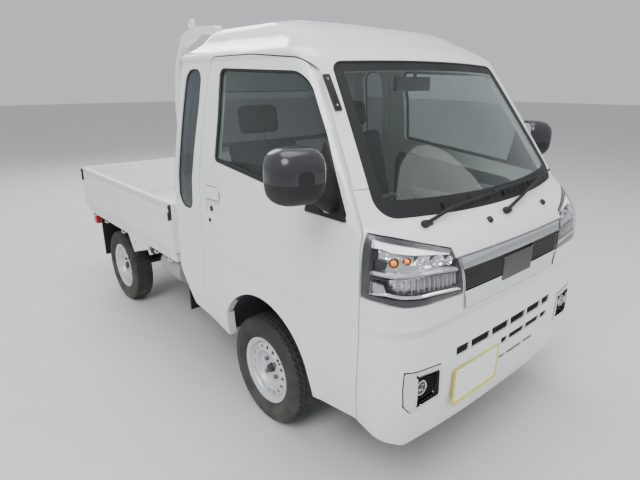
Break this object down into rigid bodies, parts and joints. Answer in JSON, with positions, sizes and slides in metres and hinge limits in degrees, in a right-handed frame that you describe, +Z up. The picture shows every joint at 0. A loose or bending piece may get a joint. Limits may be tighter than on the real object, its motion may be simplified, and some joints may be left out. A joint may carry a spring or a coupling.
{
  "type": "kei truck",
  "caption": "Small cab-over pickup truck with a long cab, drop-side load bed, guard frame, opening doors and gates, steering front wheels",
  "frame": {"origin": "on the ground, under the middle of the body's outline", "axes": "+Z up, the front faces -Y, the vehicle's right side (the driver's side) is -X"},
  "size_m": [1.9297, 3.3946, 1.909],
  "materials": {
    "body_paint": "gloss",
    "bed_paint": "satin",
    "chassis_black": "satin",
    "black_trim": "matte",
    "grey_plastic": "matte",
    "interior_plastic": "matte",
    "chrome": "polished",
    "clear_glass": "clear",
    "dark_glass": "tinted",
    "lamp": "clear",
    "lamp_red": "gloss",
    "mirror_black": "gloss",
    "tyre": "matte",
    "wheel_silver": "satin",
    "bare_metal": "rough",
    "exhaust_metal": "satin",
    "seat_fabric": "woven"
  },
  "bodies": {
    "chassis": {"cab_sides": "body_paint", "roof": "body_paint", "cab_back": "body_paint", "front_panel": "body_paint", "front_bumper": "body_paint", "headlamps": "lamp", "grille": "chrome", "fog_lamps": "black_trim", "windscreen": "clear_glass", "fixed_glass": "dark_glass", "cab_floor": "interior_plastic", "seats": "seat_fabric", "dashboard": "interior_plastic", "steering_column": "interior_plastic", "room_mirror": "black_trim", "wipers": "black_trim", "frame": "chassis_black", "bed_floor": "bed_paint", "headboard": "bed_paint", "guard_posts": "bed_paint", "guard_bars": "bed_paint", "rear_panel": "bed_paint", "tail_lamps": "lamp_red", "gussets": "bed_paint", "mud_flaps": "black_trim", "fuel_tank": "chassis_black", "side_box": "grey_plastic", "splash_shield": "black_trim", "engine": "bare_metal", "exhaust": "exhaust_metal", "propshaft": "chassis_black", "rear_axle": "bare_metal", "leaf_springs": "chassis_black", "front_suspension": "chassis_black"},
    "steering": {"steering_wheel": "interior_plastic"},
    "knuckle_right": {"knuckle_right": "bare_metal"},
    "knuckle_left": {"knuckle_left": "bare_metal"},
    "door_right": {"door_right": "body_paint", "door_glass_right": "dark_glass", "mirror_right": "mirror_black"},
    "door_left": {"door_left": "body_paint", "door_glass_left": "dark_glass", "mirror_left": "mirror_black"},
    "side_gate_right": {"side_gate_right": "bed_paint"},
    "side_gate_left": {"side_gate_left": "bed_paint"},
    "tailgate": {"tailgate": "bed_paint"},
    "wheel_front_right": {"tyre_front_right": "tyre", "rim_front_right": "wheel_silver"},
    "wheel_front_left": {"tyre_front_left": "tyre", "rim_front_left": "wheel_silver"},
    "wheel_rear_right": {"tyre_rear_right": "tyre", "rim_rear_right": "wheel_silver"},
    "wheel_rear_left": {"tyre_rear_left": "tyre", "rim_rear_left": "wheel_silver"}
  },
  "joints": [
    {"name": "steer_right", "type": "hinge", "parent": "chassis", "child": "knuckle_right", "pos_m": [-0.625, -0.849, 0.268], "axis": [0, 0, 1], "range_deg": [-35, 35]},
    {"name": "steer_left", "type": "hinge", "parent": "chassis", "child": "knuckle_left", "pos_m": [0.625, -0.849, 0.268], "axis": [0, 0, 1], "range_deg": [-35, 35]},
    {"name": "steering_turn", "type": "hinge", "parent": "chassis", "child": "steering", "pos_m": [-0.345, -1.12, 1.035], "axis": [0, 0.6428, 0.766], "range_deg": [-560, 560]},
    {"name": "door_right_hinge", "type": "hinge", "parent": "chassis", "child": "door_right", "pos_m": [-0.737, -1.492, 0.8], "axis": [0, 0, 1], "range_deg": [0, 65]},
    {"name": "door_left_hinge", "type": "hinge", "parent": "chassis", "child": "door_left", "pos_m": [0.737, -1.492, 0.8], "axis": [0, 0, -1], "range_deg": [0, 65]},
    {"name": "side_gate_right_hinge", "type": "hinge", "parent": "chassis", "child": "side_gate_right", "pos_m": [-0.7375, 0.85, 0.641], "axis": [0, -1, 0], "range_deg": [0, 176]},
    {"name": "side_gate_left_hinge", "type": "hinge", "parent": "chassis", "child": "side_gate_left", "pos_m": [0.7375, 0.85, 0.641], "axis": [0, 1, 0], "range_deg": [0, 176]},
    {"name": "tailgate_hinge", "type": "hinge", "parent": "chassis", "child": "tailgate", "pos_m": [0, 1.6975, 0.641], "axis": [-1, 0, 0], "range_deg": [0, 176]},
    {"name": "spin_front_right", "type": "hinge", "parent": "knuckle_right", "child": "wheel_front_right", "pos_m": [-0.6525, -0.849, 0.268], "axis": [1, 0, 0], "continuous": true},
    {"name": "spin_front_left", "type": "hinge", "parent": "knuckle_left", "child": "wheel_front_left", "pos_m": [0.6525, -0.849, 0.268], "axis": [1, 0, 0], "continuous": true},
    {"name": "spin_rear_right", "type": "hinge", "parent": "chassis", "child": "wheel_rear_right", "pos_m": [-0.65, 1.051, 0.268], "axis": [1, 0, 0], "continuous": true},
    {"name": "spin_rear_left", "type": "hinge", "parent": "chassis", "child": "wheel_rear_left", "pos_m": [0.65, 1.051, 0.268], "axis": [1, 0, 0], "continuous": true}
  ],
  "couplings": [
    {"joint": "steer_left", "follows": "steer_right", "ratio": 1},
    {"joint": "steering_turn", "follows": "steer_right", "ratio": 16}
  ]
}
